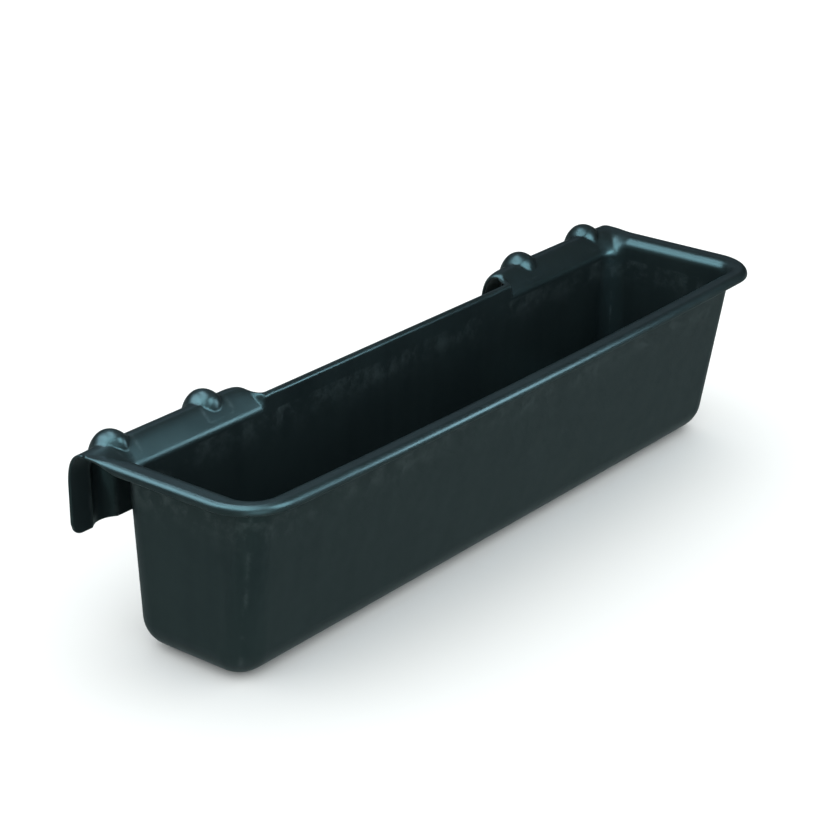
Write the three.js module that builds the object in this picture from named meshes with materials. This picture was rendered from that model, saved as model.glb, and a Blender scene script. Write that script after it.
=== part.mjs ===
// Hook-over trough feeder for poultry and small livestock, in millimetres.
// The real trough is one plastic moulding. It is built here as that moulding's named sections: the floor and
// walls, the rolled rims round them, the two hooks that hang the trough on a rail, and the hollow ribs that
// stiffen the hooks. Every section has the moulding's own wall thickness, and a fine seam parts it from its
// neighbours. +X runs along the trough, -Y faces the animals, +Y faces the rail, +Z is up. The origin is the
// centre of the flat underside.
import * as THREE from "three";

// ---- Driving dimensions
const LENGTH = 1000; // over the end rims, and over the hooks' outer edges
const RIM_Z = 236; // top of the rims
const CREST_Z = 237.5; // crest of the hooks
const BACK_RIM_Z = 229.5; // top of the low rim between the hooks
const WALL = 4; // thickness of the moulding
const SEAM = 0.4; // gap between neighbouring sections
const SEAM_Z = 206; // height where the walls end, and the rims and hooks begin

const BACK_Y = 84; // outer face of the back wall, plumb so that it lies flat on a rail
const FRONT_FOOT_Y = -84; // outer face of the front wall at the foot
const FRONT_TOP_Y = -117; // and at the rim: the wall leans out
const HALF_FOOT = 464.7; // outer face of an end wall at the foot
const HALF_TOP = 471.6; // and at the rim
const CORNER_FOOT = 39; // outer radius of the upright corners at the foot
const CORNER_TOP = 27; // and at the rim
const FOOT_RADIUS = 36; // outer radius of the bottom edge
const FRONT_BOW = 9; // how far the front rim bellies out at mid length

const FRONT_LIP_Y = -140.6; // outer face of the front rim
const LIP_CORNER = 62; // outer radius of the rim's front corners
const FLARE = 15; // radius where a wall turns out into its rim
const LIP_ROUND = 8.5; // radius of a rim's outer edge
const LIP_DROP = 10.6; // height of a rim's turned-down lip
const BACK_FLARE = 5; // radius where the back wall turns out into its low rim
const BACK_RIM_REACH = 8; // width of that rim from the wall's inner face
const BACK_RIM_SPREAD = 6; // how much wider it grows where it meets a hook

const HOOK_IN_X = 250; // |x| of a hook's inner edge; its outer edge is flush with the end rim
const HOOK_SINK = 6; // how much lower a hook's crest lies at its inner edge
const HOOK_ROUND = 24; // length over which the crest rounds down to that
const CREST_RUN = 40; // length over which it comes down to the end rim at the outer edge
const HOOK_SPREAD = 8; // how much nearer the middle that edge stands at the back wall than at the crest
const SPREAD_RUN = 50; // length over which the sections on either side lean with it
const CREST_Y = 106; // line where a hook is highest
const RAIL_GAP = 46; // clear space between the back wall and a hook's drop plate
const ARCH_FALL = 45; // height of the arch from the crest to the straight of the drop plate
const ARCH_FULLNESS = 2.5; // power of the arch's superellipse: 2 is an ellipse, more has a fuller shoulder
const HOOK_FOOT_Z = 131.5; // bottom edge of the drop plate
const HOOK_CORNER = 16; // radius of the drop plate's bottom corners
const FOLD = 14; // radius where the back wall folds back into the hook's ramp
const FOLD_Z = 208.5; // height where that fold starts
const FOLD_TURN = THREE.MathUtils.degToRad(40); // how far it turns from the vertical

const RIB_XS = [303, 450]; // |x| of the centre line of the inner and outer rib of each hook
const RIB_HALF = 20.5; // half width of a rib
const RIB_RISE = 13.5; // how far a rib stands off the hook
const RIB_FOOT_RISE = 8; // and at the bottom of the drop plate

const PLASTIC = { color: 0x1d2628, roughness: 0.42, metalness: 0 };

// ---- How finely each stretch is divided
const CORNER_STEPS = 3; // in half a corner
const FRONT_STEPS = 5; // on each side of the middle
const FOOT_STEPS = 6;
const BEND_STEPS = 4;
const FLAT_STEPS = 3;
const RAMP_PARTS = [0.22, 0.23, 0.5, 0.75, 1]; // ribs start after the first, past a seam
const CREST_ROW = 8; // the row of a section that lies on the crest, or ends a rim's flat
const RIB_ROW = CREST_ROW - RAMP_PARTS.length + 1;
const ARCH_STEPS = 6;
const RIB_STEPS = 10;

const { lerp, smoothstep } = THREE.MathUtils;
const HALF_PI = Math.PI / 2;
const ARCH_REACH = BACK_Y + RAIL_GAP + WALL - CREST_Y;
const v2 = (x, y) => new THREE.Vector2(x, y);
const ray = (angle, length) => v2(Math.cos(angle), Math.sin(angle)).multiplyScalar(length);

// Numbers from a to b in the given number of equal steps.
function steps(a, b, count) {
  return Array.from({ length: count + 1 }, (_, i) => lerp(a, b, i / count));
}

// ---- Plan of the walls: the inner face at height z
function wallsAt(z) {
  const t = z / RIM_Z;
  return {
    half: lerp(HALF_FOOT, HALF_TOP, t) - WALL,
    front: lerp(FRONT_FOOT_Y, FRONT_TOP_Y, t) + WALL,
    back: BACK_Y - WALL,
    corner: lerp(CORNER_FOOT, CORNER_TOP, t) - WALL,
  };
}

const seamWalls = wallsAt(SEAM_Z);
const straightX = seamWalls.half - seamWalls.corner; // |x| where the straight stretches of front and back end
const backStraightY = seamWalls.back - seamWalls.corner;
const frontStraightY = seamWalls.front + seamWalls.corner;
const frontLean = Math.atan((FRONT_FOOT_Y - FRONT_TOP_Y) / RIM_Z);
const endLean = Math.atan((HALF_TOP - HALF_FOOT) / RIM_Z);

// The front bellies out between the corners, most at the rim and not at all at the foot.
function bowed(point) {
  const along = 1 - (point.x / (LENGTH / 2)) ** 2;
  const forward = smoothstep(-point.y, 0, -FRONT_FOOT_Y);
  point.y -= (FRONT_BOW * along * forward * point.z) / RIM_Z;
  return point;
}

// ---- Closed skins, gathered triangle by triangle
class Skin {
  constructor() {
    this.positions = [];
  }
  triangle(a, b, c) {
    for (const p of [a, b, c]) this.positions.push(p.x, p.y, p.z);
  }
  quad(a, b, c, d) {
    this.triangle(a, b, c);
    this.triangle(a, c, d);
  }
  // The mesh, or with flip -1 its mirror image on the other side of the middle.
  mesh(name, flip = 1) {
    const positions = [];
    for (let i = 0; i < this.positions.length; i += 9) {
      const corners = [0, 3, 6].map((k) => this.positions.slice(i + k, i + k + 3));
      if (flip < 0) corners.reverse();
      for (const [x, y, z] of corners) positions.push(flip * x, y, z);
    }
    const geometry = new THREE.BufferGeometry();
    geometry.setAttribute("position", new THREE.Float32BufferAttribute(positions, 3));
    geometry.computeVertexNormals();
    const mesh = new THREE.Mesh(geometry, new THREE.MeshStandardMaterial(PLASTIC));
    mesh.name = name;
    return mesh;
  }
}

// ---- Sections. A row is a point on the moulding's upper face, as a distance d out from the wall's inner
// face at SEAM_Z and a height z, the direction [nd, nz] that this face looks in there, and the thickness
// behind it.
const row = (d, z, nd, nz, thick = WALL) => ({ d, z, nd, nz, thick });

// A wall that turns out into a flat flange whose upper face ends at distance `end`.
function flangeRows(flare, topZ, lean, end) {
  const centreZ = topZ - flare;
  const centreD = (centreZ + flare * Math.sin(lean) - SEAM_Z) * Math.tan(lean) + flare * Math.cos(lean);
  const bend = steps(lean, HALF_PI, BEND_STEPS).map((a) =>
    row(centreD - flare * Math.cos(a), centreZ + flare * Math.sin(a), -Math.cos(a), Math.sin(a)),
  );
  const flat = steps(centreD, end, FLAT_STEPS)
    .slice(1)
    .map((d) => row(d, topZ, 0, 1));
  return [row(0, SEAM_Z + SEAM / 2, -1, 0), ...bend, ...flat];
}

// A rim's whole section: the flange, its rounded edge and its turned-down lip.
function rimRows(reach, lean, round, drop) {
  const edge = steps(0, HALF_PI, BEND_STEPS)
    .slice(1)
    .map((a) => {
      const [nd, nz] = [Math.sin(a), Math.cos(a)];
      return row(reach - round + round * nd, RIM_Z - round + round * nz, nd, nz);
    });
  return [...flangeRows(FLARE, RIM_Z, lean, reach - round), ...edge, row(reach, RIM_Z - drop, 1, 0)];
}

// A hook's section up to its crest: the wall folds back, climbs as a ramp and levels off.
function rampRows(reach, crestZ) {
  const bend = steps(0, FOLD_TURN, RIB_ROW - 2).map((a) =>
    row(FOLD * (1 - Math.cos(a)), FOLD_Z + FOLD * Math.sin(a), -Math.cos(a), Math.sin(a)),
  );
  const { d, z } = bend.at(-1);
  const level = Math.min(d + (crestZ - z) * Math.tan(FOLD_TURN), reach - 1);
  const curve = new THREE.QuadraticBezierCurve(v2(d, z), v2(level, crestZ), v2(reach, crestZ));
  const ramp = RAMP_PARTS.map((t) => {
    const [p, g] = [curve.getPoint(t), curve.getTangent(t)];
    return row(p.x, p.y, -g.y, g.x);
  });
  return [row(0, SEAM_Z + SEAM / 2, -1, 0), ...bend, ...ramp];
}

// The rest of a hook's section: the arch behind the crest, and the plate that drops from it.
function dropRows(reach, crestZ, footZ) {
  const centreZ = crestZ - ARCH_FALL;
  const arch = steps(0, HALF_PI, ARCH_STEPS)
    .slice(1)
    .map((a) => {
      const [across, upward] = [Math.sin(a), Math.max(Math.cos(a), 0)].map((v) => v ** (2 / ARCH_FULLNESS));
      const turn = (v) => v ** (ARCH_FULLNESS - 1);
      const normal = v2(turn(across) / ARCH_REACH, turn(upward) / ARCH_FALL).normalize();
      return row(reach + ARCH_REACH * across, centreZ + ARCH_FALL * upward, normal.x, normal.y);
    });
  const plate = [(centreZ + footZ) / 2, footZ].map((z) => row(reach + ARCH_REACH, z, 1, 0));
  return [...arch, ...plate];
}

function blendRows(from, to, t) {
  return from.map((a, j) => {
    const b = to[j];
    const normal = v2(lerp(a.nd, b.nd, t), lerp(a.nz, b.nz, t)).normalize();
    return row(lerp(a.d, b.d, t), lerp(a.z, b.z, t), normal.x, normal.y);
  });
}

// Sets a section in space, standing at p and reaching towards q as seen from above, and raised by `rise`.
function column(p, q, rows, rise = () => 0) {
  const out = q.clone().sub(p).normalize();
  const place = ({ d, z, nd, nz }, off) =>
    bowed(new THREE.Vector3(p.x + out.x * (d + nd * off), p.y + out.y * (d + nd * off), z + nz * off));
  return {
    top: rows.map((r, j) => place(r, rise(j))),
    bottom: rows.map((r, j) => place(r, rise(j) - r.thick)),
  };
}

// ---- Sheets: a run of columns, closed all round. nodeOf(i, j) names the node that the moulding belongs to
// between columns i and i + 1 and rows j and j + 1, or gives null where nothing is.
function makeSheet(columns, nodeOf) {
  const skins = new Map();
  const lastI = columns.length - 2;
  const lastJ = columns[0].top.length - 2;
  const nameAt = (i, j) => (i < 0 || j < 0 || i > lastI || j > lastJ ? null : nodeOf(i, j));
  for (let i = 0; i <= lastI; i++) {
    for (let j = 0; j <= lastJ; j++) {
      const name = nameAt(i, j);
      if (!name) continue;
      if (!skins.has(name)) skins.set(name, new Skin());
      const skin = skins.get(name);
      const [a, b] = [columns[i], columns[i + 1]];
      skin.quad(a.top[j], a.top[j + 1], b.top[j + 1], b.top[j]);
      skin.quad(a.bottom[j], b.bottom[j], b.bottom[j + 1], a.bottom[j + 1]);
      if (nameAt(i - 1, j) !== name) skin.quad(a.top[j], a.bottom[j], a.bottom[j + 1], a.top[j + 1]);
      if (nameAt(i + 1, j) !== name) skin.quad(b.top[j], b.top[j + 1], b.bottom[j + 1], b.bottom[j]);
      if (nameAt(i, j - 1) !== name) skin.quad(a.top[j], b.top[j], b.bottom[j], a.bottom[j]);
      if (nameAt(i, j + 1) !== name) skin.quad(a.top[j + 1], a.bottom[j + 1], b.bottom[j + 1], b.top[j + 1]);
    }
  }
  return skins;
}

// The same run of sections on the other side of the middle, and a whole run from its left half.
function mirrored(columns) {
  const flip = (p) => new THREE.Vector3(-p.x, p.y, p.z);
  return columns.map(({ top, bottom }) => ({ top: top.map(flip), bottom: bottom.map(flip) })).reverse();
}
const wholeFront = (left) => [...left, ...mirrored(left).slice(1)];
const wholeBack = (left) => [...mirrored(left).slice(0, -1), ...left];

// Columns stand round the trough anticlockwise as seen from above. Neighbouring nodes meet on a mitre at each
// corner's middle, each drawn back from it by half a seam.
const BACK_MITRE = 0.75 * Math.PI;
const FRONT_MITRE = 1.25 * Math.PI;
const aside = (angle, distance) => ray(angle + HALF_PI, distance);
const backArc = steps(HALF_PI, BACK_MITRE, CORNER_STEPS);
const backEndArc = steps(BACK_MITRE, Math.PI, CORNER_STEPS);
const frontEndArc = steps(Math.PI, FRONT_MITRE, CORNER_STEPS);
const frontArc = steps(FRONT_MITRE, 1.5 * Math.PI, CORNER_STEPS);
const shiftAt = (angle, before) => {
  if (angle !== BACK_MITRE && angle !== FRONT_MITRE) return 0;
  return before ? -SEAM / 2 : SEAM / 2;
};

// ---- Floor and walls
function makeFloor() {
  const { half, front, back, corner } = wallsAt(0);
  const r = corner + WALL - FOOT_RADIUS - SEAM;
  const [x, y0, y1] = [half - corner, front + corner, back - corner];
  const shape = new THREE.Shape();
  const corners = [[x, y1], [-x, y1], [-x, y0], [x, y0]];
  corners.forEach(([cx, cy], k) => shape.absarc(cx, cy, r, k * HALF_PI, (k + 1) * HALF_PI, false));
  const geometry = new THREE.ExtrudeGeometry(shape, { depth: WALL, bevelEnabled: false, curveSegments: 3 });
  const mesh = new THREE.Mesh(geometry, new THREE.MeshStandardMaterial(PLASTIC));
  mesh.name = "floor_panel";
  return mesh;
}

// A wall's section from the foot up to the seam. planAt(walls, r) gives its place in the plan of one level,
// where the corners' radius is r.
function wallColumn(planAt) {
  const face = (grow) => {
    const r = FOOT_RADIUS - WALL + grow;
    const turns = steps(0, HALF_PI, FOOT_STEPS);
    const foot = turns.map((a) => [FOOT_RADIUS - r * Math.cos(a), grow - r * (1 - Math.sin(a))]);
    return [...foot, [SEAM_Z - SEAM / 2, grow]].map(([z, out]) => {
      const walls = wallsAt(z);
      const p = planAt(walls, walls.corner + out);
      return bowed(new THREE.Vector3(p.x, p.y, z));
    });
  };
  return { top: face(0), bottom: face(WALL) };
}

function cornerWallColumn(angle, isFront, shift) {
  return wallColumn(({ half, front, back, corner }, r) =>
    ray(angle, r)
      .add(aside(angle, shift))
      .add(v2(corner - half, isFront ? front + corner : back - corner)),
  );
}

function makeWalls() {
  const middle = wallColumn(({ back, corner }, r) => v2(0, back - corner + r));
  const backHalf = [middle, ...backArc.map((a) => cornerWallColumn(a, false, shiftAt(a, true)))];
  const frontCorner = frontArc.map((a) => cornerWallColumn(a, true, shiftAt(a, false)));
  const along = steps(1, 0, FRONT_STEPS).slice(1);
  const frontHalf = along.map((t) =>
    wallColumn(({ half, front, corner }, r) => v2(t * (corner - half), front + corner - r)),
  );
  const end = [
    ...backEndArc.map((a) => cornerWallColumn(a, false, shiftAt(a, false))),
    ...frontEndArc.map((a) => cornerWallColumn(a, true, shiftAt(a, true))),
  ];
  return {
    back: makeSheet(wholeBack(backHalf), () => "back_wall"),
    front: makeSheet(wholeFront([...frontCorner, ...frontHalf]), () => "front_wall"),
    end: makeSheet(end, () => "end_wall"),
  };
}

// ---- Front rim, with half of each front corner
function frontCornerColumn(angle, shift) {
  const p = ray(angle, seamWalls.corner).add(v2(-straightX, frontStraightY));
  const q = ray(angle, LIP_CORNER).add(v2(LIP_CORNER - LENGTH / 2, FRONT_LIP_Y + LIP_CORNER));
  for (const point of [p, q]) point.add(aside(angle, shift));
  const lean = lerp(endLean, frontLean, (angle - Math.PI) / HALF_PI);
  return column(p, q, rimRows(q.distanceTo(p), lean, LIP_ROUND, LIP_DROP));
}

function makeFrontRim() {
  const corner = frontArc.map((a) => frontCornerColumn(a, shiftAt(a, false)));
  const along = steps(-straightX, 0, FRONT_STEPS)
    .slice(1)
    .map((x) => {
      const [p, q] = [v2(x, seamWalls.front), v2(x, FRONT_LIP_Y)];
      return column(p, q, rimRows(q.distanceTo(p), frontLean, LIP_ROUND, LIP_DROP));
    });
  return makeSheet(wholeFront([...corner, ...along]), () => "front_rim");
}

// ---- End rim: from the front mitre to the hook, where its lip runs out and its flare turns into the ramp
function makeEndRim() {
  const hookward = steps(0.98, 0, 5).map((turn) => {
    const p = ray(Math.PI - (turn * HALF_PI) / 2, seamWalls.corner).add(v2(-straightX, backStraightY));
    const q = v2(-LENGTH / 2, lerp(backStraightY, CREST_Y, turn));
    const left = smoothstep(turn, 0, 0.8);
    const drop = lerp(LIP_DROP, WALL + 0.3, left);
    const round = lerp(LIP_ROUND, WALL + 0.2, left);
    const rim = rimRows(q.distanceTo(p), endLean, round, drop);
    const ramp = rampRows(q.distanceTo(p) - round, RIM_Z);
    const inner = blendRows(rim.slice(0, ramp.length), ramp, smoothstep(turn, 0, 1));
    return column(p, q, [...inner, ...rim.slice(ramp.length)]);
  });
  const along = steps(backStraightY, frontStraightY, 3)
    .slice(1)
    .map((y) => {
      const p = v2(-seamWalls.half, y);
      const q = v2(-LENGTH / 2, y < 0 ? FRONT_LIP_Y + LIP_CORNER : y);
      return column(p, q, rimRows(q.distanceTo(p), endLean, LIP_ROUND, LIP_DROP));
    });
  const corner = frontEndArc.slice(1).map((a) => frontCornerColumn(a, shiftAt(a, true)));
  return makeSheet([...hookward, ...along, ...corner], () => "end_rim");
}

// The |x| where the section whose crest lies at |x| stands on the back wall.
function standX(x) {
  const near = 1 - smoothstep(Math.abs(x - HOOK_IN_X), 0, SPREAD_RUN);
  return x - HOOK_SPREAD * near;
}

// ---- Back rim: the low strip between the hooks, which spreads where it meets them
function makeBackRim() {
  const end = HOOK_IN_X - SEAM;
  const left = [0, end / 2, end - SPREAD_RUN, end - 24, end - 16, end - 8, end].map((x) => {
    const reach = BACK_RIM_REACH + BACK_RIM_SPREAD * smoothstep(x, end - 24, end);
    const foot = v2(-standX(x), seamWalls.back);
    return column(foot, v2(-x, CREST_Y), flangeRows(BACK_FLARE, BACK_RIM_Z, 0, reach));
  });
  return makeSheet(wholeBack(left), () => "back_rim");
}

// ---- Hook and its two ribs
const ribEdges = RIB_XS.map((centre) => [centre - RIB_HALF, centre + RIB_HALF]);

// How far a hook stands off its plain section at its crest's x: a rounded hump over each rib's centre line.
function ribRise(x) {
  const t = Math.min(...RIB_XS.map((centre) => Math.abs((Math.abs(x) - centre) / RIB_HALF)));
  return t < 1 ? RIB_RISE * (1 - t * t) ** 0.8 : 0;
}

// A rib grows from nothing on the ramp to its full height just behind the crest.
const ribGrowth = (j) => smoothstep(j, RIB_ROW + 1, CREST_ROW + 1);

// Down the drop plate it grows flatter again.
const PLATE_ROW = CREST_ROW + ARCH_STEPS;
const ribFade = (j) => lerp(1, RIB_FOOT_RISE / RIB_RISE, smoothstep(j, PLATE_ROW, PLATE_ROW + 2));

// Height of the crest at |x|: it rounds down at the hook's inner edge, and eases down to the end rim.
function crestHeight(x) {
  const short = 1 - Math.min((x - HOOK_IN_X) / HOOK_ROUND, 1);
  const level = lerp(RIM_Z, CREST_Z, smoothstep(LENGTH / 2 - x, 0, CREST_RUN));
  return level - HOOK_SINK * (1 - Math.sqrt(1 - short ** 2));
}

// Bottom edge of the drop plate at x, with its rounded corners.
function hookFootZ(x) {
  const inset = Math.min(-x - HOOK_IN_X, LENGTH / 2 + x);
  const short = Math.max(HOOK_CORNER - inset, 0);
  return HOOK_FOOT_Z + HOOK_CORNER - Math.sqrt(HOOK_CORNER ** 2 - short ** 2);
}

// A hook's section at x. Past the back wall's straight it fans round the basin's corner.
function hookColumn(x) {
  const round = Math.max((-x - straightX) / (LENGTH / 2 - straightX), 0);
  const centre = v2(Math.max(-standX(-x), -straightX), backStraightY);
  const p = ray(HALF_PI * (1 + round / 2), seamWalls.corner).add(centre);
  const q = v2(x, CREST_Y);
  const reach = q.distanceTo(p);
  const crestZ = crestHeight(-x);
  const drop = dropRows(CREST_Y - seamWalls.back, crestZ, hookFootZ(x));
  const rise = ribRise(x);
  const before = column(p, q, rampRows(reach, crestZ), (j) => rise * ribGrowth(j));
  const behind = column(v2(x, seamWalls.back), q, drop, (j) => {
    const place = j + CREST_ROW + 1;
    return rise * ribGrowth(place) * ribFade(place);
  });
  return { top: [...before.top, ...behind.top], bottom: [...before.bottom, ...behind.bottom] };
}

function makeHook() {
  const seamed = ribEdges.flat().flatMap((x) => [x - SEAM / 2, x + SEAM / 2]);
  const within = ribEdges.flatMap(([a, b]) => steps(a + SEAM / 2, b - SEAM / 2, RIB_STEPS).slice(1, -1));
  const between = (ribEdges[0][1] + ribEdges[1][0]) / 2;
  const corners = [0, 3, 8, HOOK_CORNER].flatMap((inset) => [HOOK_IN_X + inset, LENGTH / 2 - inset]);
  const xs = [...seamed, ...within, between, ...corners].sort((a, b) => a - b);
  const nodeOf = (i, j) => {
    const x = (xs[i] + xs[i + 1]) / 2;
    const onSeam = (edge) => Math.abs(x - edge) < SEAM / 2;
    const rib = ribEdges.findIndex(([a, b]) => x > a - SEAM / 2 && x < b + SEAM / 2);
    if (rib < 0 || j < RIB_ROW) return "hook";
    if (j === RIB_ROW || ribEdges[rib].some(onSeam)) return null;
    return ["hook_inner_rib", "hook_outer_rib"][rib];
  };
  return makeSheet(xs.map((x) => hookColumn(-x)), nodeOf);
}

// ---- Assembly
const group = new THREE.Group();
group.name = "trough_feeder";
group.add(makeFloor());
const walls = makeWalls();
for (const skins of [walls.front, walls.back, makeFrontRim(), makeBackRim()]) {
  for (const [name, skin] of skins) group.add(skin.mesh(name));
}
for (const skins of [walls.end, makeEndRim(), makeHook()]) {
  for (const [name, skin] of skins) {
    group.add(skin.mesh(`left_${name}`));
    group.add(skin.mesh(`right_${name}`, -1));
  }
}
export default group;
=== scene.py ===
# Looks for the hook-over trough feeder: one smooth moulding, parted at the CAD sections' own borders.
import math
from collections import namedtuple

import bpy
import numpy as np
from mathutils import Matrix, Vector


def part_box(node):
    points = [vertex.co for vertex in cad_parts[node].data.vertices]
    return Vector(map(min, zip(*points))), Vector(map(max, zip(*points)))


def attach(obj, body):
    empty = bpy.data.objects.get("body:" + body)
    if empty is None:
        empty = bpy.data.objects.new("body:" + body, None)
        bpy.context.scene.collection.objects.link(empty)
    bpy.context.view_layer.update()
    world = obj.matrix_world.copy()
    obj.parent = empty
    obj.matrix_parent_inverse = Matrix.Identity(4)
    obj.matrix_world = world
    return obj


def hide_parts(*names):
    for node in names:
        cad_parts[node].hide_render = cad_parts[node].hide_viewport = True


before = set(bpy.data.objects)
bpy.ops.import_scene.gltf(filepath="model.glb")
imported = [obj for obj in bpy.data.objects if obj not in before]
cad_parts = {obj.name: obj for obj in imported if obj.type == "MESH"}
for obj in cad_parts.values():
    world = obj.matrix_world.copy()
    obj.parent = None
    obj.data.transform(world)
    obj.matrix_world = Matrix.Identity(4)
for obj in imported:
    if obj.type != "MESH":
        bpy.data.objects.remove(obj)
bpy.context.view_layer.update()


def box_mm(node):
    low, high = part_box(node)
    return np.array(low) * 1000, np.array(high) * 1000


# ---- Sizes in millimetres, from the CAD where a node's box gives them
hook_low, hook_high = box_mm("left_hook")
WALL = box_mm("floor_panel")[1][2]
EDGE = WALL / 2  # every free edge is fully rounded

# The basin's outer face, whose plan widens evenly from its foot, at z = 0, to its top
BACK_Y = box_mm("back_wall")[1][1]
FRONT_FOOT_Y, FRONT_TOP_Y = -84.0, -117.0
HALF_FOOT, HALF_TOP = 464.7, 471.6
CORNER_FOOT, CORNER_TOP = 39.0, 27.0
TOP_Z = 236.0
FOOT_RADIUS = 36.0
FRONT_BOW = 9.0  # how far the middle of the front's top stands forward of its ends
BOW_HALF = 500.0  # half the length that the bow spans
SEAM_Z = 206.0  # where the walls end, and the rims and hooks begin

# The rims at the front and the ends: a bend, a level stretch, a rounded edge and a turned-down lip
RIM_Z = box_mm("front_rim")[1][2]
HALF_LENGTH = -hook_low[0]
FRONT_LIP_Y = -140.5  # the lip's outer face, without the bow
LIP_CORNER = 62.0
FLARE = 15.0
LIP_ROUND = 8.5
LIP_DROP = 10.6
LIP_STUB = 0.01  # the share of the lip that is left where it runs out at a hook

# The low rim at the back
BACK_RIM_Z = box_mm("back_rim")[1][2]
BACK_FLARE = 5.0
BACK_RIM_REACH = 8.0
RIM_FILLET = 10.0  # radius in plan where it runs into a hook's inner edge

# The hooks: a fold and a ramp up to the crest, an arch behind it, and a plate that hangs down
HOOK_IN_X = -hook_high[0]
HOOK_FOOT_Z = hook_low[2]
PLATE_Y = hook_high[1]
CREST_Y, CREST_Z = 106.0, 237.5
CREST_RUN = 40.0  # length over which the crest comes down to the end rim
FOLD, FOLD_Z, FOLD_TURN = 14.0, 208.5, math.radians(40)
ARCH_FALL, ARCH_FULLNESS = 45.0, 2.5  # height, and the power of its superellipse
HOOK_CORNER = 16.0
HOOK_SINK, HOOK_ROUND = 6.0, 24.0  # the crest's fall at the hook's inner edge, and over what length
STEP_RUN = 6.0  # length over which a hook's recess is stepped off from the back wall

# Near a hook's inner edge, the sections lean in plan: they stand nearer the middle than they end
HOOK_SPREAD = 8.0  # by how much, at the edge
SPREAD_RUN = 50.0  # and how far from it they are straight again
EDGE_LEAN = 3.0  # how much more than that the edge itself leans

# The ribs over the hooks, with lengths along them measured behind the crest
RIB_XS = (303.0, 450.0)
RIB_HALF = 20.5
RIB_RISE, RIB_FOOT_RISE = 13.3, 8.0
RIB_FRONT, RIB_FULL = -17.0, 17.0  # where a rib starts, and where it stands at its full height
RIB_FADE = (50.0, 105.0)  # the stretch in which it comes down to its foot's height
RIB_SIDE_POWER, RIB_NOSE_POWER = 2.1, 1.6  # how full it is across and at its front

# The mesh: rows along each stretch of a column, and columns along each stretch of the rim
FOOT_ROWS, WALL_ROWS, RIM_ROWS, LIP_ROWS = 12, 6, 40, 12
ARCH_ROWS, PLATE_ROWS, EDGE_ROWS = 22, 20, 6
RIB_ROWS = 24  # rim rows that a rib's piece takes in front of the crest
STRAIGHT_COLUMNS, LEANING_COLUMNS, FILLET_COLUMNS, INNER_EDGE_COLUMNS = 7, 13, 12, 7
STEP_GAP, HOOK_GAP = 1.1, 2.6  # the widest columns in a hook's step, and elsewhere on it
BACK_CORNER_COLUMNS, END_COLUMNS, CORNER_COLUMNS, FRONT_COLUMNS = 13, 9, 24, 19
# Points on each curve of a section before it is divided evenly
BEND_POINTS, FOLD_POINTS, RAMP_POINTS, LIP_POINTS, ARCH_POINTS = 24, 12, 30, 16, 120
LEAST = 0.01  # the shortest level stretch of a flange
BASE = FOOT_ROWS + WALL_ROWS  # the row of the seam
CREST = BASE + RIM_ROWS  # the row of the crest, or of a rim's outer edge
LAST = CREST + LIP_ROWS


def lerp(a, b, t):
    return a + (b - a) * t


def smooth(t, a=0.0, b=1.0):
    t = np.clip((t - a) / (b - a), 0, 1)
    return t * t * (3 - 2 * t)


def ray(angle, r):
    return np.array([math.cos(angle), math.sin(angle)]) * r


# ---- Plan of the walls' inner face
Walls = namedtuple("Walls", "half front back corner")


def walls_at(z):
    """Half length, y of front and back, and corner radius of the inner face at a height."""
    t = z / TOP_Z
    return Walls(
        half=lerp(HALF_FOOT, HALF_TOP, t) - WALL,
        front=lerp(FRONT_FOOT_Y, FRONT_TOP_Y, t) + WALL,
        back=BACK_Y - WALL,
        corner=lerp(CORNER_FOOT, CORNER_TOP, t) - WALL,
    )


SEAM = walls_at(SEAM_Z)
STRAIGHT_X = SEAM.half - SEAM.corner  # where the straight stretches of the back and the end stop
STRAIGHT_Y = SEAM.back - SEAM.corner
FRONT_LEAN = math.atan((FRONT_FOOT_Y - FRONT_TOP_Y) / TOP_Z)
END_LEAN = math.atan((HALF_TOP - HALF_FOOT) / TOP_Z)


# Each plan tells where one column stands, for the walls at its height and the corner radius r there
def corner_plan(angle, front):
    def plan(walls, r):
        x, y = ray(angle, r)
        centre_y = walls.front + walls.corner if front else walls.back - walls.corner
        return x + walls.corner - walls.half, y + centre_y

    return plan


def back_plan(x):
    return lambda walls, r: (x * (walls.half - walls.corner) / STRAIGHT_X, walls.back - walls.corner + r)


def front_plan(t):
    return lambda walls, r: (t * (walls.corner - walls.half), walls.front + walls.corner - r)


def end_plan(t):
    def plan(walls, r):
        return walls.corner - walls.half - r, lerp(walls.back - walls.corner, walls.front + walls.corner, t)

    return plan


def seam_point(plan):
    return np.array(plan(SEAM, SEAM.corner))


# ---- Sections, as (distance out from the wall, height) polylines of equal point counts
def resample(points, count, part=1.0):
    """The first part of a polyline, in the given number of equal steps."""
    points = np.asarray(points, float)
    length = np.concatenate([[0], np.cumsum(np.linalg.norm(np.diff(points, axis=0), axis=1))])
    at = np.linspace(0, length[-1] * part, count + 1)
    return np.stack([np.interp(at, length, points[:, k]) for k in (0, 1)], 1)


def flange(flare, top_z, lean, end):
    """A rim: the wall leans out, bends over by the radius flare and runs level to a distance, end."""
    z = top_z - flare
    d = (z + flare * math.sin(lean) - SEAM_Z) * math.tan(lean) + flare * math.cos(lean)
    turns = np.linspace(lean, math.pi / 2, BEND_POINTS)
    bend = [(d - flare * math.cos(a), z + flare * math.sin(a)) for a in turns]
    return resample([(0, SEAM_Z), *bend, (max(end, d + LEAST), top_z)], RIM_ROWS)


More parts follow.
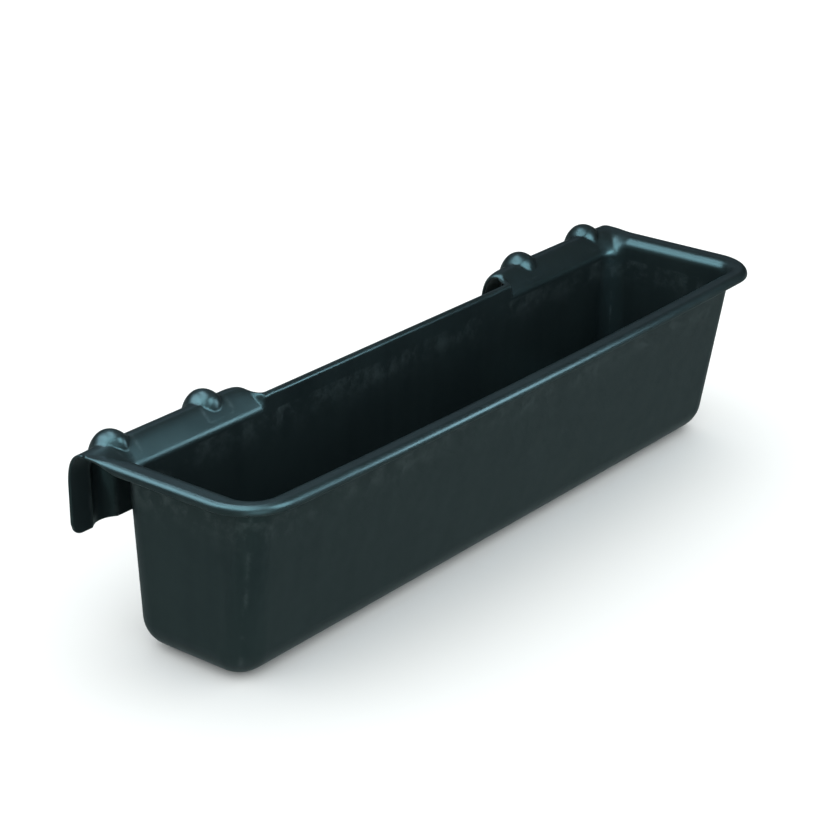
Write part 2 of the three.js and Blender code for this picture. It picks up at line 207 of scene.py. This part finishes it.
def ramp(reach, crest_z):
    """A hook's section in front of its crest: the fold, and a curve that comes level at the crest."""
    turns = np.linspace(0, FOLD_TURN, FOLD_POINTS)
    fold = [(FOLD * (1 - math.cos(a)), FOLD_Z + FOLD * math.sin(a)) for a in turns]
    d, z = fold[-1]
    level = min(d + (crest_z - z) * math.tan(FOLD_TURN), reach - 1)
    t = np.linspace(0, 1, RAMP_POINTS)[1:, None]
    a, b, c = np.array([d, z]), np.array([level, crest_z]), np.array([reach, crest_z])
    curve = (1 - t) ** 2 * a + 2 * t * (1 - t) * b + t**2 * c
    return resample([(0, SEAM_Z), *fold, *curve], RIM_ROWS)


def lip(reach, left=0.0):
    """The rim's rounded edge and turned-down lip; left runs from 0, whole, to 1, gone."""
    turns = np.linspace(0, math.pi / 2, LIP_POINTS)
    arc = [(LIP_ROUND * math.sin(a), RIM_Z - LIP_ROUND * (1 - math.cos(a))) for a in turns]
    foot = (LIP_ROUND, RIM_Z - LIP_DROP + EDGE)
    points = resample([*arc, foot], LIP_ROWS, 1 - (1 - LIP_STUB) * left)
    return points + [reach - points[-1, 0], 0]


def step_off(crest_z, reach):
    """A hook's section right at its inner edge: the back rim's, drawn out and up to the crest."""
    points = flange(BACK_FLARE, BACK_RIM_Z, 0, reach)
    out = np.clip(points[:, 0] / reach, 0, 1)
    points[:, 1] += (crest_z - BACK_RIM_Z) * out**2
    return points


# ---- Columns: the moulding's upper or inner face from the floor's edge out to its free edge, in order
# from the middle of the back round the left end to the middle of the front
columns = []


def basin_rows(plan):
    """The column's points below the seam."""
    r = FOOT_RADIUS - WALL
    turns = np.linspace(0, math.pi / 2, FOOT_ROWS + 1)
    levels = [(FOOT_RADIUS - r * math.cos(a), -r * (1 - math.sin(a))) for a in turns]
    levels += [(z, 0) for z in np.linspace(FOOT_RADIUS, SEAM_Z, WALL_ROWS + 1)[1:]]
    rows = []
    for z, grow in levels:
        walls = walls_at(z)
        rows.append((*plan(walls, walls.corner + grow), z))
    return rows[:-1]  # the seam's own point is the rim section's first


def bow(points):
    """Bows the front forward, most in its middle and at the rim."""
    along = 1 - (points[:, 0] / BOW_HALF) ** 2
    forward = smooth(-points[:, 1], 0, -FRONT_FOOT_Y)
    points[:, 1] -= FRONT_BOW * along * forward * points[:, 2] / TOP_Z
    return points


def add_column(plan, q, section, wall, rim, edge=None, **more):
    """A column up the wall and out towards q, by its rim's section and, if it has one, its lip."""
    p = seam_point(plan)
    out = (q - p) / np.linalg.norm(q - p)
    rows = basin_rows(plan)
    for d, z in [*section, *(edge[1:] if edge is not None else [])]:
        rows.append((*(p + out * d), z))
    points = bow(np.array(rows, float))
    columns.append({"points": points, "lip": edge is not None, "wall": wall, "rim": rim, **more})


def add_rim_column(plan, q, lean, side):
    """A column with the front's or an end's whole flange and lip, whose outer face is at q."""
    reach = np.linalg.norm(q - seam_point(plan))
    section = flange(FLARE, RIM_Z, lean, reach - LIP_ROUND)
    add_column(plan, q, section, side + "_wall", side + "_rim", edge=lip(reach))


def stand_x(x):
    """|x| where the section whose crest lies at |x| stands on the back wall."""
    return x - HOOK_SPREAD * (1 - smooth(abs(x - HOOK_IN_X), 0, SPREAD_RUN))


def crest_height(x):
    short = 1 - min(max(x - HOOK_IN_X - EDGE, 0) / HOOK_ROUND, 1)
    level = lerp(RIM_Z, CREST_Z, smooth(HALF_LENGTH - EDGE - x, 0, CREST_RUN))
    return level - HOOK_SINK * (1 - math.sqrt(1 - short**2))


HOOK_EDGE_X = HOOK_IN_X + EDGE  # the middle of the hook's rounded inner edge
END_X = HALF_LENGTH - EDGE
BACK_EDGE_Y = SEAM.back + BACK_RIM_REACH - EDGE


def back_rim_path():
    """|x|, y and |x| of its stand on the wall, along the back rim's edge and up the hook's inner edge."""
    # the inner edge leans like the sections beside it, and a fillet turns the rim's edge into it
    lean = (HOOK_SPREAD + EDGE_LEAN) / (CREST_Y - SEAM.back)
    whole_turn = math.atan2(1, lean)
    fillet_y = BACK_EDGE_Y + RIM_FILLET * (1 - math.cos(whole_turn))
    fillet_x = HOOK_EDGE_X - lean * (CREST_Y - fillet_y)
    near = fillet_x - RIM_FILLET * math.sin(whole_turn)
    xs = list(np.linspace(0, near - SPREAD_RUN, STRAIGHT_COLUMNS + 1)[:-1])
    xs += list(np.linspace(near - SPREAD_RUN, near, LEANING_COLUMNS + 1)[:-1])
    path = [(x, BACK_EDGE_Y, stand_x(x)) for x in xs]
    # round the fillet, each section is turned a little further, from square to the wall to along the edge
    crest_stand = stand_x(HOOK_EDGE_X)
    first = math.atan2(BACK_EDGE_Y - SEAM.back, near - stand_x(near))
    last = math.atan2(CREST_Y - SEAM.back, HOOK_EDGE_X - crest_stand)
    for t in np.linspace(0, 1, FILLET_COLUMNS):
        turn = t * whole_turn
        x, y = near + RIM_FILLET * math.sin(turn), BACK_EDGE_Y + RIM_FILLET * (1 - math.cos(turn))
        path.append((x, y, x - (y - SEAM.back) / math.tan(lerp(first, last, t))))
    turned_stand = path[-1][2]
    for t in np.linspace(0, 1, INNER_EDGE_COLUMNS + 1)[1:-1]:
        x, y = lerp(fillet_x, HOOK_EDGE_X, t), lerp(fillet_y, CREST_Y, t)
        path.append((x, y, lerp(turned_stand, crest_stand, t)))
    return path


def add_back_rim():
    for x, y, stand in back_rim_path():
        reach = math.hypot(x - stand, y - SEAM.back)
        up = ((y - BACK_EDGE_Y) / (CREST_Y - BACK_EDGE_Y)) ** 2
        section = step_off(lerp(BACK_RIM_Z, CREST_Z - HOOK_SINK, up), reach)
        add_column(back_plan(-stand), np.array([-x, y]), section, "back_wall", "back_rim")


def hook_xs():
    """|x| of a hook's columns, one of them on every border of a rib."""
    borders = [centre + side for centre in RIB_XS for side in (-RIB_HALF, RIB_HALF)]
    edges = [HOOK_EDGE_X, HOOK_EDGE_X + STEP_RUN, *borders, END_X]
    xs = []
    for a, b in zip(edges[:-1], edges[1:]):
        gap = STEP_GAP if a == HOOK_EDGE_X else HOOK_GAP
        xs += list(np.linspace(a, b, math.ceil((b - a) / gap) + 1)[:-1])
    return [*xs, END_X]


def add_hook():
    for x in hook_xs():
        turn = max((x - STRAIGHT_X) / (END_X - STRAIGHT_X), 0)
        plan = corner_plan(math.pi / 2 * (1 + turn / 2), False) if turn > 0 else back_plan(-stand_x(x))
        q = np.array([-x, CREST_Y])
        reach = np.linalg.norm(q - seam_point(plan))
        crest_z = crest_height(x)
        step = 1 - smooth(x, HOOK_EDGE_X, HOOK_EDGE_X + STEP_RUN)
        section = lerp(ramp(reach, crest_z), step_off(crest_z, reach), step)
        add_column(plan, q, section, "back_wall", "hook", x=x, crest_z=crest_z)


def add_left_end():
    # the lip starts at the hook, while the ramp turns into the flange
    for t in np.linspace(1, 0, BACK_CORNER_COLUMNS + 1)[1:]:
        plan = corner_plan(math.pi - t * math.pi / 4, False)
        left = smooth(t)
        q = np.array([-lerp(HALF_LENGTH, END_X, left), lerp(STRAIGHT_Y, CREST_Y, t)])
        edge = lip(np.linalg.norm(q - seam_point(plan)), left)
        start = edge[0, 0]
        section = lerp(flange(FLARE, RIM_Z, END_LEAN, start), ramp(start, RIM_Z), left)
        add_column(plan, q, section, "left_end_wall", "left_end_rim", edge=edge)
    for t in np.linspace(0, 1, END_COLUMNS + 1)[1:-1]:
        q = np.array([-HALF_LENGTH, lerp(STRAIGHT_Y, FRONT_LIP_Y + LIP_CORNER, t)])
        add_rim_column(end_plan(t), q, END_LEAN, "left_end")


def add_front():
    centre = np.array([LIP_CORNER - HALF_LENGTH, FRONT_LIP_Y + LIP_CORNER])
    for step in range(CORNER_COLUMNS + 1):
        t = step / CORNER_COLUMNS
        angle = math.pi + t * math.pi / 2
        side = "left_end" if step < CORNER_COLUMNS // 2 else "front"  # the pieces meet in its middle
        lean = lerp(END_LEAN, FRONT_LEAN, t)
        add_rim_column(corner_plan(angle, True), ray(angle, LIP_CORNER) + centre, lean, side)
    for t in np.linspace(1, 0, FRONT_COLUMNS + 1)[1:]:
        plan = front_plan(t)
        add_rim_column(plan, np.array([seam_point(plan)[0], FRONT_LIP_Y]), FRONT_LEAN, "front")


add_back_rim()
add_hook()
add_left_end()
add_front()


# ---- The tongue behind each hook's crest: arch and drop plate
def tongue(column):
    x, crest_z = column["x"], column["crest_z"]
    centre = crest_z - ARCH_FALL
    reach = PLATE_Y - CREST_Y
    power = 2 / ARCH_FULLNESS
    turns = np.linspace(0, math.pi / 2, ARCH_POINTS)
    across, upward = np.sin(turns) ** power, np.maximum(np.cos(turns), 0) ** power
    arch = resample(np.stack([CREST_Y + reach * across, centre + ARCH_FALL * upward], 1), ARCH_ROWS)
    inset = min(x - HOOK_IN_X, HALF_LENGTH - x) - EDGE
    corner = HOOK_CORNER - EDGE
    short = max(corner - inset, 0)
    foot = HOOK_FOOT_Z + EDGE + corner - math.sqrt(max(corner**2 - short**2, 0))
    plate = [(PLATE_Y, z) for z in np.linspace(centre, foot, PLATE_ROWS + 1)[1:]]
    return np.array([(-x, y, z) for y, z in [*arch[1:], *plate]])


# ---- Which piece a face belongs to, for the cells between the left-hand columns k and k + 1
hook_columns = [k for k, column in enumerate(columns) if column["rim"] == "hook"]


def rib_at(k):
    """The rib that passes between hook columns k and k + 1, if one does."""
    x = (columns[k]["x"] + columns[k + 1]["x"]) / 2
    for centre, name in zip(RIB_XS, ("inner", "outer")):
        if abs(x - centre) < RIB_HALF:
            return f"left_hook_{name}_rib"
    return None


def cell_tag(k, row):
    if row < BASE:
        return columns[k + 1]["wall"]
    if columns[k]["rim"] == "back_rim":
        return "back_rim"
    if k not in hook_columns:
        return columns[k + 1]["rim"]
    if k == hook_columns[-1]:
        return "left_end_rim"
    rib = rib_at(k)
    return rib if rib and CREST - RIB_ROWS <= row < CREST else "left_hook"


def swap(name, flip):
    return name.replace("left_", "right_") if flip else name


def mirrored(points):
    return points * np.array([-1, 1, 1])


# ---- One mesh of the whole upper face
class Sheet:
    def __init__(self):
        self.points, self.faces, self.tags = [], [], []

    def add(self, points):
        start = len(self.points)
        self.points += list(points)
        return list(range(start, start + len(points)))

    def cell(self, corners, tag):
        """A face of these corners, left out where they fall together."""
        face = list(dict.fromkeys(corners))
        if len(face) > 2:
            self.faces.append(face)
            self.tags.append(tag)

    def strip(self, a, b, tags):
        """The cells between two lines of points, with a tag for each row."""
        for j, tag in enumerate(tags):
            self.cell([a[j], a[j + 1], b[j + 1], b[j]], tag)


def ring_place(k, flip):
    """Where the left-hand column k, or its mirror image, is in the ring of all columns."""
    return 2 * len(columns) - 2 - k if flip else k


def build_sheet():
    """The sheet, its ring of columns, and the tongues' lines from the crest down, by side and column."""
    sheet = Sheet()
    ring = []
    for flip, half in ((False, columns), (True, columns[-2:0:-1])):
        for column in half:
            rows = sheet.add(mirrored(column["points"]) if flip else column["points"])
            ring.append(rows if column["lip"] else rows + [rows[-1]] * LIP_ROWS)
    for i, rows in enumerate(ring):
        flip = i >= len(columns) - 1
        k = len(ring) - i - 1 if flip else i
        after = ring[(i + 1) % len(ring)]
        sheet.strip(rows, after, [swap(cell_tag(k, row), flip) for row in range(LAST)])
    tongues = {}
    for flip in (False, True):
        lines = {}
        for k in hook_columns:
            points = tongue(columns[k])
            lines[k] = [ring[ring_place(k, flip)][CREST]] + sheet.add(mirrored(points) if flip else points)
        for k in hook_columns[:-1]:
            a, b = (lines[k + 1], lines[k]) if flip else (lines[k], lines[k + 1])
            sheet.strip(a, b, [swap(rib_at(k) or "left_hook", flip)] * (ARCH_ROWS + PLATE_ROWS))
        tongues[flip] = lines
    return sheet, ring, tongues


def face_normal(p):
    """A face's normal, as long as twice its area."""
    return np.cross(p[2] - p[0], p[3] - p[1]) if len(p) == 4 else np.cross(p[1] - p[0], p[2] - p[0])


def vertex_normals(points):
    """Normals weighted by area; round the floor they face straight up, to meet the flat panel."""
    out = np.zeros_like(points)
    for face in sheet.faces:
        out[face] += face_normal(points[face])
    out[floor_ring] = (0, 0, 1)
    return out / np.maximum(np.linalg.norm(out, axis=1), 1e-12)[:, None]


sheet, ring, tongues = build_sheet()
floor_ring = [rows[0] for rows in ring]


# ---- Ribs, raised along the hook's own normals
def rib_height(x, s):
    """How far the ribs stand off the hook at |x|, at a distance s behind the crest."""
    ahead = max(0.0, (RIB_FULL - s) / (RIB_FULL - RIB_FRONT))
    off = min(abs((x - centre) / RIB_HALF) for centre in RIB_XS)
    rise = lerp(RIB_RISE, RIB_FOOT_RISE, smooth(s, *RIB_FADE))
    return rise * max(1 - off**RIB_SIDE_POWER - ahead**RIB_NOSE_POWER, 0.0)


def with_ribs(points):
    rise = np.zeros(len(points))
    for flip, lines in tongues.items():
        for k, behind in lines.items():
            line = ring[ring_place(k, flip)][BASE : CREST + 1] + behind[1:]
            steps = np.linalg.norm(np.diff(points[line], axis=0), axis=1)
            along = np.concatenate([[0], np.cumsum(steps)])
            rise[line] = [rib_height(columns[k]["x"], s) for s in along - along[RIM_ROWS]]
    return points + vertex_normals(points) * rise[:, None]


points = with_ribs(np.array(sheet.points))
normals = vertex_normals(points)
below = len(points)  # what is added to a vertex's number to get the one under it, on the lower face

# ---- Free edge: an arc from the upper to the lower face at each of its vertices
owner = {}  # the face beside each edge, by the edge's ends in that face's own order
for k, face in enumerate(sheet.faces):
    for a, b in zip(face, face[1:] + face[:1]):
        owner[a, b] = k
on_floor = set(floor_ring)
free = [(a, b) for a, b in owner if (b, a) not in owner and not {a, b} <= on_floor]
follows = dict(free)
before = {b: a for a, b in free}
arcs, arc_points, arc_normals = {}, [], []
for v in follows:
    side = np.cross(points[follows[v]] - points[before[v]], normals[v])
    side /= np.linalg.norm(side)
    centre = points[v] - normals[v] * EDGE
    arc = []
    for phi in np.linspace(0, math.pi, EDGE_ROWS + 1)[1:-1]:
        outward = math.cos(phi) * normals[v] + math.sin(phi) * side
        arc.append(2 * below + len(arc_points))
        arc_points.append(centre + EDGE * outward)
        arc_normals.append(outward)
    arcs[v] = [v, *arc, v + below]

all_points = np.concatenate([points, points - normals * WALL, np.array(arc_points)])
all_normals = np.concatenate([normals, -normals, np.array(arc_normals)])

# ---- Faces of every piece: upper face, lower face, rounded free edge, and a cap wherever two pieces meet
pieces = {}  # by node, (vertices, whether it is shaded smooth) of each face


def add_face(tag, face, smooth_face=True):
    pieces.setdefault(tag, []).append((face, smooth_face))


def under(face):
    return [v + below for v in reversed(face)]


for face, tag in zip(sheet.faces, sheet.tags):
    add_face(tag, face)
    add_face(tag, under(face))
for a, b in free:
    for p, q, r, s in zip(arcs[a][:-1], arcs[b][:-1], arcs[b][1:], arcs[a][1:]):
        add_face(sheet.tags[owner[a, b]], [q, p, s, r])
for (a, b), k in owner.items():
    tag = sheet.tags[k]
    if (b, a) in owner:
        neighbour = sheet.tags[owner[b, a]]
    else:
        neighbour = "floor_panel" if {a, b} <= on_floor else tag
    if neighbour != tag:
        add_face(tag, [b, a, a + below, b + below], False)
        if a in arcs:
            add_face(tag, arcs[a][::-1], False)
        if b in arcs:
            add_face(tag, arcs[b], False)
add_face("floor_panel", floor_ring)
add_face("floor_panel", under(floor_ring))
for a, b in zip(floor_ring, floor_ring[1:] + floor_ring[:1]):
    add_face("floor_panel", [a, a + below, b + below, b], False)


# ---- Material
class Graph:
    """A material's nodes, made by short calls."""

    def __init__(self, name):
        self.material = bpy.data.materials.new(name)
        self.material.use_nodes = True
        self.tree = self.material.node_tree
        self.shader = self.tree.nodes["Principled BSDF"]
        self.place = self.tree.nodes.new("ShaderNodeTexCoord").outputs["Object"]

    def feed(self, socket, value):
        if isinstance(value, bpy.types.NodeSocket):
            self.tree.links.new(value, socket)
        else:
            socket.default_value = value

    def stretched(self, scale):
        node = self.tree.nodes.new("ShaderNodeMapping")
        node.inputs["Scale"].default_value = scale
        self.feed(node.inputs["Vector"], self.place)
        return node.outputs["Vector"]

    def noise(self, scale, detail=3.0, vector=None, roughness=0.55):
        node = self.tree.nodes.new("ShaderNodeTexNoise")
        self.feed(node.inputs["Vector"], vector or self.place)
        for name, value in (("Scale", scale), ("Detail", detail), ("Roughness", roughness)):
            node.inputs[name].default_value = value
        return node.outputs["Fac"]

    def spread(self, value, low, high, to_low=0.0, to_high=1.0):
        node = self.tree.nodes.new("ShaderNodeMapRange")
        self.feed(node.inputs["Value"], value)
        for name, number in (("From Min", low), ("From Max", high), ("To Min", to_low), ("To Max", to_high)):
            node.inputs[name].default_value = number
        return node.outputs["Result"]

    def math(self, operation, a, b=0.0):
        node = self.tree.nodes.new("ShaderNodeMath")
        node.operation = operation
        self.feed(node.inputs[0], a)
        self.feed(node.inputs[1], b)
        return node.outputs["Value"]

    def mix(self, amount, a, b):
        node = self.tree.nodes.new("ShaderNodeMix")
        node.data_type = "RGBA"
        factor, first, second = (node.inputs[k] for k in (0, 6, 7))  # those of a colour mix
        for socket, value in ((factor, amount), (first, a), (second, b)):
            self.feed(socket, value)
        return node.outputs[2]

    def bump(self, height, distance, normal=None):
        node = self.tree.nodes.new("ShaderNodeBump")
        node.inputs["Strength"].default_value = 1.0
        node.inputs["Distance"].default_value = distance
        self.feed(node.inputs["Height"], height)
        if normal:
            self.feed(node.inputs["Normal"], normal)
        return node.outputs["Normal"]

    def edges(self):
        """1 on convex edges, 0 on flat or hollow surface."""
        node = self.tree.nodes.new("ShaderNodeNewGeometry")
        return self.spread(node.outputs["Pointiness"], 0.505, 0.56)


# Linear colours of the plastic, and of what lies on it
DEEP, PALE = (0.0082, 0.0125, 0.0142, 1), (0.0115, 0.0168, 0.0178, 1)
STREAK = (0.0136, 0.0203, 0.0212, 1)
SPECK = (0.0065, 0.01, 0.0117, 1)
RUBBED = (0.05, 0.062, 0.064, 1)
GLOSS_TINT = (0.62, 1.0, 0.92, 1)
WAVE_DEPTH, GRAIN_DEPTH = 0.0009, 0.00005  # metres


def plastic():
    """Satin green-black plastic: mottled, faintly streaked down its walls, speckled, rubbed on its rims."""
    g = Graph("moulded_plastic_visual")
    cloud = g.spread(g.noise(9.0, 4.0), 0.3, 0.7)
    fine = g.spread(g.noise(70.0, 5.0, roughness=0.7), 0.3, 0.7)
    streaks = g.spread(g.noise(1.0, 4.0, vector=g.stretched((60.0, 60.0, 3.0))), 0.35, 0.7)
    scuff = g.math("MULTIPLY", g.edges(), g.spread(g.noise(45.0, 6.0, roughness=0.75), 0.48, 0.72))
    tone = g.mix(cloud, DEEP, PALE)
    tone = g.mix(g.math("MULTIPLY", streaks, 0.5), tone, STREAK)
    tone = g.mix(g.math("MULTIPLY", fine, 0.25), tone, SPECK)
    tone = g.mix(g.math("MULTIPLY", scuff, 0.55), tone, RUBBED)
    g.feed(g.shader.inputs["Base Color"], tone)
    sheen = g.math("ADD", g.spread(cloud, 0, 1, 0.29, 0.35), g.spread(fine, 0, 1, -0.015, 0.03))
    g.feed(g.shader.inputs["Roughness"], g.math("ADD", sheen, g.math("MULTIPLY", scuff, 0.12)))
    waves = g.bump(g.noise(14.0, 2.0), WAVE_DEPTH)
    grain = g.bump(g.noise(650.0, 3.0, roughness=0.6), GRAIN_DEPTH, normal=waves)
    g.feed(g.shader.inputs["Normal"], grain)
    g.shader.inputs["IOR"].default_value = 1.45
    g.shader.inputs["Specular Tint"].default_value = GLOSS_TINT
    return g.material


# ---- Pieces
def make_mesh(name, faces):
    """A mesh of these faces that keeps the whole moulding's normals, so that no border shows."""
    used = sorted({v for face, _ in faces for v in face})
    where = {v: k for k, v in enumerate(used)}
    mesh = bpy.data.meshes.new(name)
    mesh.from_pydata((all_points[used] * 0.001).tolist(), [], [[where[v] for v in face] for face, _ in faces])
    mesh.polygons.foreach_set("use_smooth", [True] * len(faces))
    mesh.update()
    loop_normals = []
    for poly, (face, is_smooth) in zip(mesh.polygons, faces):
        loop_normals += [tuple(all_normals[v]) if is_smooth else tuple(poly.normal) for v in face]
    mesh.normals_split_custom_set(loop_normals)
    return mesh


skin = plastic()
for tag, faces in pieces.items():
    name = f"{tag}_moulded"
    piece = bpy.data.objects.new(name, make_mesh(name, faces))
    piece.data.materials.append(skin)
    bpy.context.scene.collection.objects.link(piece)
    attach(piece, "root")
    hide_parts(tag)

# ---- Floor: a white one for the eye, and a darker one that is seen only in the plastic's gloss
bpy.ops.mesh.primitive_plane_add(size=60, location=(0, 0, 0))
floor = bpy.context.object
floor.name = "studio_floor"
floor.visible_glossy = False
shade = floor.copy()
shade.data = floor.data.copy()
shade.name = "studio_floor_in_reflections"
shade.visible_camera = shade.visible_diffuse = shade.visible_shadow = False
shade.visible_glossy = True
bpy.context.scene.collection.objects.link(shade)
for surface, colour in ((floor, (0.9, 0.905, 0.9, 1)), (shade, (0.15, 0.18, 0.185, 1))):
    paper = Graph(surface.name)
    paper.feed(paper.shader.inputs["Base Color"], colour)
    paper.feed(paper.shader.inputs["Roughness"], 0.9)
    paper.feed(paper.shader.inputs["Specular IOR Level"], 0.0)
    surface.data.materials.append(paper.material)

# ---- Light: an even sky for the floor and the plastic's colour, softboxes for its gloss
world = bpy.data.worlds.new("studio")
bpy.context.scene.world = world
world.use_nodes = True
sky = world.node_tree.nodes["Background"]
sky.inputs["Color"].default_value = (0.97, 1.0, 1.0, 1)
sky.inputs["Strength"].default_value = 1.4
world.cycles_visibility.glossy = False
bpy.context.scene.view_settings.view_transform = "Standard"

SOFTBOX_COLOUR = (0.6, 0.8, 1.0)
SOFTBOX_AIM = Vector((0, 0, 0.15))


def softbox(name, place, size, radiance):
    """A softbox that faces the trough and shows only in its gloss."""
    light = bpy.data.lights.new(name, "AREA")
    light.shape = "RECTANGLE"
    light.size, light.size_y = size
    light.energy = radiance * math.pi * size[0] * size[1]
    light.color = SOFTBOX_COLOUR
    lamp = bpy.data.objects.new(name, light)
    lamp.location = place
    lamp.rotation_euler = (Vector(place) - SOFTBOX_AIM).normalized().to_track_quat("Z", "Y").to_euler()
    lamp.visible_camera = False
    lamp.visible_diffuse = False
    bpy.context.scene.collection.objects.link(lamp)


softbox("over_end", (-1.25, 1.68, 2.05), (1.8, 1.5), 10.0)
softbox("over_left", (-0.85, 0.2, 2.05), (1.3, 1.7), 10.0)
softbox("over_hook", (-0.05, -0.85, 1.05), (0.75, 0.8), 13.0)
softbox("over_ribs", (-0.82, -0.4, 1.0), (0.42, 0.3), 14.0)
softbox("over_far", (0.15, 0.95, 2.05), (0.8, 0.9), 10.0)
softbox("fold", (0.35, -0.54, 0.456), (0.36, 0.3), 13.0)
softbox("corner", (-1.7, -2.1, 0.75), (1.5, 1.5), 4.0)
softbox("far_back", (1.9, 1.8, 1.4), (2.5, 1.2), 0.2)

# ---- Camera
AZIMUTH, ELEVATION, DISTANCE = math.radians(-51.127), math.radians(23.063), 2.972
TARGET = Vector((0.0494, 0.0974, 0.1101))
level = math.cos(ELEVATION)
away = Vector((math.sin(AZIMUTH) * level, -math.cos(AZIMUTH) * level, math.sin(ELEVATION)))
camera = bpy.data.objects.new("camera", bpy.data.cameras.new("camera"))
camera.location = TARGET + away * DISTANCE
camera.rotation_euler = (-away).to_track_quat("-Z", "Y").to_euler()
camera.data.sensor_width = 36
camera.data.lens = 103.32
camera.data.clip_end = 50
bpy.context.scene.collection.objects.link(camera)
bpy.context.scene.camera = camera
